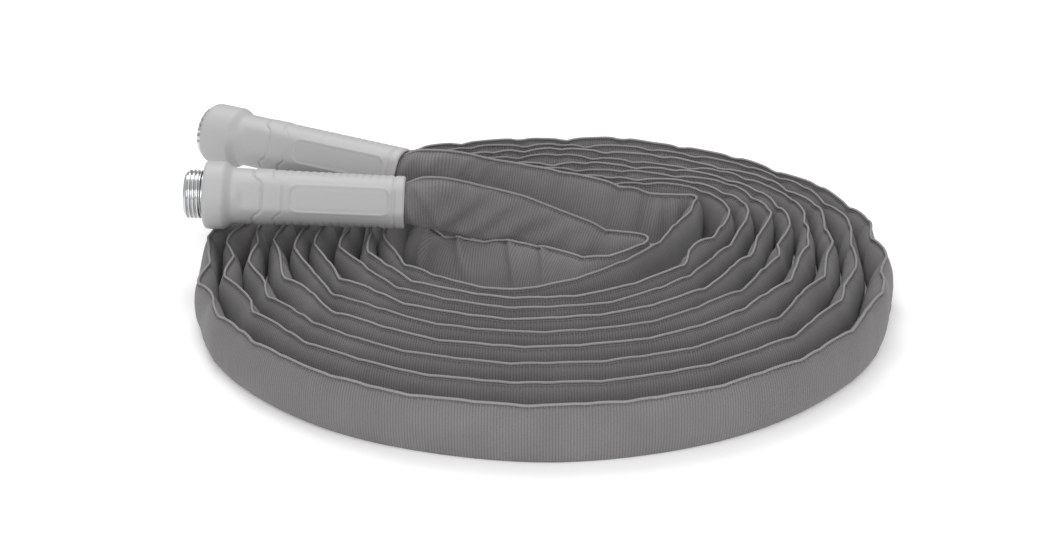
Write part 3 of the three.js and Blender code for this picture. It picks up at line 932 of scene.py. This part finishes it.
def coupling_finishes(context):
    """The couplings' metal and soft materials."""
    return (shared_material("turned_aluminium", turned_aluminium),
            shared_material("moulded_tpr", moulded_tpr, context.scene.couplings.grip_colour))


# ---- operators ----
class SetStage(bpy.types.Operator):
    """Places the camera, the lights and the floor."""

    bl_idname = "hose.stage"
    bl_label = "Stage"

    def execute(self, context):
        scene = context.scene
        stage = scene.stage_settings
        camera = bpy.data.cameras.new("camera")
        camera.lens = stage.lens
        camera.sensor_width = SENSOR_WIDTH
        holder = bpy.data.objects.new("camera", camera)
        holder.location = CAMERA_PLACE
        holder.rotation_euler = (math.radians(CAMERA_TILT), 0, 0)
        scene.collection.objects.link(holder)
        scene.camera = holder
        scene.view_settings.view_transform = "Standard"
        world = bpy.data.worlds.new("studio")
        world.use_nodes = True
        background = world.node_tree.nodes["Background"]
        way = add(world.node_tree, "ShaderNodeTexCoord").outputs["Generated"]
        upward = add(world.node_tree, "ShaderNodeSeparateXYZ", {0: way}).outputs["Z"]
        add(world.node_tree, "ShaderNodeMapRange", {
            "Value": upward, "From Min": 0.0, "From Max": 1.0, "To Min": stage.sky * HORIZON,
            "To Max": stage.sky * OVERHEAD}, background.inputs["Strength"])
        background.inputs["Color"].default_value = (1, 1, 1, 1)
        scene.world = world
        self.light(scene, "key", (-0.3, 0.8, 1.5), 0.9, stage.key_power)
        self.light(scene, "fill", (0.1, -1.7, 0.75), 1.2, stage.key_power * FILL_SHARE)
        paper = mottled("matt_white_paper", linear("#f8f8f8"), 0.9, 0.6, 0.02, 0.01,
                        Emission_Color=(1, 1, 1, 1), Emission_Strength=0.14)
        points = [(-4000, -3000, 0), (4000, -3000, 0), (4000, 5000, 0), (-4000, 5000, 0)]
        floor = new_piece("floor", points, [(0, 1, 2, 3)], paper)
        return {"FINISHED"}

    @staticmethod
    def light(scene, name, place, size, power):
        """A square area light at place, in metres, that points at the origin."""
        lamp = bpy.data.lights.new(name, "AREA")
        lamp.size = size
        lamp.energy = power
        holder = bpy.data.objects.new(name, lamp)
        x, y, z = place
        holder.rotation_euler = (
            math.atan2(math.hypot(x, y), z), 0, math.atan2(-x, y) + math.pi)
        holder.location = place
        scene.collection.objects.link(holder)


class WeaveJacket(bpy.types.Operator):
    """Lofts the woven jacket along the whole hose, from inside one coupling to inside the other."""

    bl_idname = "hose.jacket"
    bl_label = "Woven jacket"

    def execute(self, context):
        line = hose_line()
        rings = line.rings(RING_STEP)
        points = jacket_points(line, rings)
        material = shared_material(
            "woven_polyester", woven_polyester, context.scene.hose_fabric.jacket_colour)
        middle = points[len(points) // 2]
        around = np.linalg.norm(np.roll(middle, -1, axis=0) - middle, axis=1)
        v = np.concatenate([[0], np.cumsum(around)]) * MM
        jacket = new_piece(
            "hose_jacket", to_frame(points.reshape(-1, 3)), tube_faces(*points.shape[:2]),
            material, tube_uv(rings * MM, v), recalculate=True)
        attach(jacket, "hose")
        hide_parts("roll_jacket", "female_end_jacket", "male_end_jacket")
        return {"FINISHED"}


class InsertLiner(bpy.types.Operator):
    """Puts the watertight liner inside the jacket, as a collapsed tube with a wall."""

    bl_idname = "hose.liner"
    bl_label = "Liner"

    def execute(self, context):
        line = hose_line()
        rings = line.rings(8)
        walls = [self.wall(line, rings, depth) for depth in (LINER_INSET, LINER_INSET + LINER_WALL)]
        sides = walls[0].shape[1]
        count = len(rings)
        faces = tube_faces(count, sides, ends=False)
        inner = [tuple(p + count * sides for p in reversed(f)) for f in faces]
        last = (count - 1) * sides
        for j in range(sides):
            k = (j + 1) % sides
            faces.append((j, k, k + count * sides, j + count * sides))
            faces.append((last + k, last + j, last + j + count * sides, last + k + count * sides))
        points = np.vstack([w.reshape(-1, 3) for w in walls])
        rubber = mottled("extruded_tpu_liner", linear("#2c2c2e"), 0.45, 0.5, 0.02)
        liner = new_piece("hose_liner", to_frame(points), faces + inner, rubber, recalculate=True)
        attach(liner, "hose")
        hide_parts("roll_liner", "female_end_liner", "male_end_liner")
        return {"FINISHED"}

    @staticmethod
    def wall(line, rings, depth):
        """One surface of the liner: round in the couplings, a flat loop in the roll."""
        angle = 2 * math.pi * (np.arange(12) + 0.5) / 12
        tall, thin = line.flattened(rings)
        flat_high = (BODY_TOP + HALF_HEIGHT) / 2 - depth - 1.2
        flat_thin = max(1.5 - depth, 0.12) if depth > LINER_INSET else 1.0
        high = (1 - tall) * (JACKET_ROUND - depth) + tall * flat_high
        thick = (1 - thin) * (JACKET_ROUND - depth) + thin * flat_thin
        middle = (BODY_TOP - HALF_HEIGHT) / 2 * tall
        return line.place(rings, middle + high * np.sin(angle), -thick * np.cos(angle), depth)


class SewWelt(bpy.types.Operator):
    """Sews the cord into the top edge, and the stitches that hold it, all along the hose."""

    bl_idname = "hose.welt"
    bl_label = "Welt and stitches"

    def execute(self, context):
        fabric = context.scene.hose_fabric
        line = hose_line()
        rings = line.index[line.mouth > -2][::2]
        tall, _ = line.flattened(rings)
        crest = (1 - tall) * (JACKET_ROUND - 0.4) + tall * WELT_CENTRE
        path = line.place(rings, crest, np.zeros_like(crest))[:, 0]
        cord = braided_cord(fabric.welt_colour)
        welt = run_nodes("edge_welt", to_frame(path), beads_tree("welt_beads", cord), {
            "pitch": fabric.bead_pitch, "bead_radius": WELT_RADIUS * MM,
            "bead_length": 1.15 * MM, "core_radius": 0.8 * MM})
        thread = mottled("bonded_sewing_thread", linear("#6a6968"), 0.8, 0.2, 0.05)
        seam = (1 - tall) * JACKET_ROUND * 0.94 + tall * (BODY_TOP + 0.05)
        paths = [line.place(rings, seam, np.full_like(seam, out))[:, 0] for out in (0.62, -0.62)]
        tree = beads_tree("seam_stitches", thread, core=False)
        sizes = {"pitch": fabric.stitch_pitch, "bead_radius": 0.3 * MM, "bead_length": 0.95 * MM}
        pieces = [welt]
        for name, path in zip(("seam_stitches_a", "seam_stitches_b"), paths):
            pieces.append(run_nodes(name, to_frame(path), tree, sizes))
        for piece in pieces:
            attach(piece, "hose")
        return {"FINISHED"}


class FitMaleCoupling(bpy.types.Operator):
    """Makes the male coupling: the threaded spigot and its soft grip."""

    bl_idname = "hose.male_coupling"
    bl_label = "Male coupling"

    def execute(self, context):
        metal, soft = coupling_finishes(context)
        fit("hose",
            (make_spigot("threaded_spigot", MALE, metal), "male_spigot", "aluminium"),
            (make_grip("male_soft_grip", MALE, soft), "male_grip", "soft_grip"))
        return {"FINISHED"}


class FitFemaleCoupling(bpy.types.Operator):
    """Makes the female coupling's turning pieces: the swivel nut and its soft grip."""

    bl_idname = "hose.female_coupling"
    bl_label = "Female coupling"

    def execute(self, context):
        metal, soft = coupling_finishes(context)
        fit("female_swivel",
            (make_nut("swivel_nut", FEMALE, metal), "female_nut", "aluminium"),
            (make_grip("female_soft_grip", FEMALE, soft), "female_grip", "soft_grip"))
        return {"FINISHED"}


class FinishInnerFittings(bpy.types.Operator):
    """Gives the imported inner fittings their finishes: ferrules, stem and washer."""

    bl_idname = "hose.inner_fittings"
    bl_label = "Inner fittings"

    def execute(self, context):
        aluminium = mottled(
            "drawn_aluminium", linear("#cfd0d2"), 0.32, 0.3, 0.03, Metallic=1.0)
        rubber = mottled("epdm_washer", linear("#252525"), 0.7, 0.3, 0.05)
        finishes = {
            "male_ferrule": aluminium, "female_ferrule": aluminium, "female_stem": aluminium,
            "female_washer": rubber,
        }
        for node, material in finishes.items():
            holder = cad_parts[node]
            holder.material_slots[0].link = "OBJECT"
            holder.material_slots[0].material = material
        return {"FINISHED"}


class DeclareHose(bpy.types.Operator):
    """Works out points along the hose's line, in metres from the part's origin, and keeps nothing.
    """

    bl_idname = "hose.declare"
    bl_label = "Hose as one length"

    def execute(self, context):
        path = to_frame(hose_line().centre[::4]) * MM
        return {"FINISHED"}


class HosePanel(bpy.types.Panel):
    """Lists the hose's settings and its operators."""

    bl_idname = "VIEW3D_PT_hose"
    bl_label = "Rolled hose"
    bl_space_type = "VIEW_3D"
    bl_region_type = "UI"
    bl_category = "Hose"

    def draw(self, context):
        layout = self.layout
        for name in SETTINGS:
            group = getattr(context.scene, name)
            for prop in group.bl_rna.properties:
                if prop.identifier not in ("name", "rna_type"):
                    layout.prop(group, prop.identifier)
        for operator in OPERATORS:
            layout.operator(operator.bl_idname)


OPERATORS = (
    SetStage, WeaveJacket, InsertLiner, SewWelt, FitMaleCoupling, FitFemaleCoupling,
    FinishInnerFittings, DeclareHose,
)
SETTINGS = {
    "hose_fabric": HoseFabricSettings, "couplings": CouplingSettings,
    "stage_settings": StageSettings,
}


def register():
    """Registers the classes and puts the settings on the scene."""
    for cls in (*SETTINGS.values(), *OPERATORS, HosePanel):
        bpy.utils.register_class(cls)
    for name, cls in SETTINGS.items():
        setattr(bpy.types.Scene, name, bpy.props.PointerProperty(type=cls))


def unregister():
    """Takes the settings and the classes away again."""
    for name in SETTINGS:
        delattr(bpy.types.Scene, name)
    for cls in (HosePanel, *reversed(OPERATORS), *SETTINGS.values()):
        bpy.utils.unregister_class(cls)


def main():
    """Builds everything in order."""
    register()
    bpy.ops.hose.stage()
    bpy.ops.hose.jacket()
    bpy.ops.hose.liner()
    bpy.ops.hose.welt()
    bpy.ops.hose.male_coupling()
    bpy.ops.hose.female_coupling()
    bpy.ops.hose.inner_fittings()
    bpy.ops.hose.declare()


if __name__ == "__main__":
    main()
